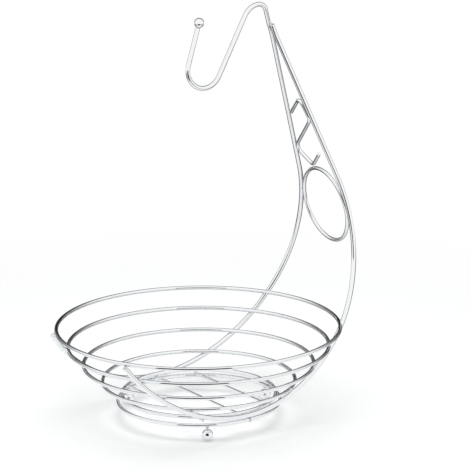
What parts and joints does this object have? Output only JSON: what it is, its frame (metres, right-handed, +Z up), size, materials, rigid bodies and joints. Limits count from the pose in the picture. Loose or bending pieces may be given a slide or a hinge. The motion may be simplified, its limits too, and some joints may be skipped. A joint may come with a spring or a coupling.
{
  "type": "fruit basket with hanging hook",
  "caption": "Open wire fruit bowl on ball feet, with a leaning wire tower behind it that ends in a hook for hanging a bunch of fruit over the bowl.",
  "frame": {"origin": "on the standing surface, under the middle of the part's bounding box", "axes": "+Z up, +Y from the bowl towards the tower, +X to the side that the right frame wire is on"},
  "size_m": [0.3, 0.3256, 0.4312],
  "materials": {
    "chrome_wire": "bright chrome plate over drawn steel wire",
    "chrome_ball": "bright chrome plate over a steel ball"
  },
  "bodies": {
    "root": {"rim_ring": "chrome_wire", "upper_bowl_ring": "chrome_wire", "middle_bowl_ring": "chrome_wire", "lower_bowl_ring": "chrome_wire", "floor_ring": "chrome_wire", "base_ring": "chrome_wire", "front_floor_wire": "chrome_wire", "middle_floor_wire": "chrome_wire", "rear_floor_wire": "chrome_wire", "left_frame_wire": "chrome_wire", "right_frame_wire": "chrome_wire", "tower_ring": "chrome_wire", "tower_scroll": "chrome_wire", "hook_ball": "chrome_ball", "rear_foot_stud": "chrome_wire", "front_left_foot_stud": "chrome_wire", "front_right_foot_stud": "chrome_wire", "rear_foot_ball": "chrome_ball", "front_left_foot_ball": "chrome_ball", "front_right_foot_ball": "chrome_ball"}
  },
  "joints": []
}
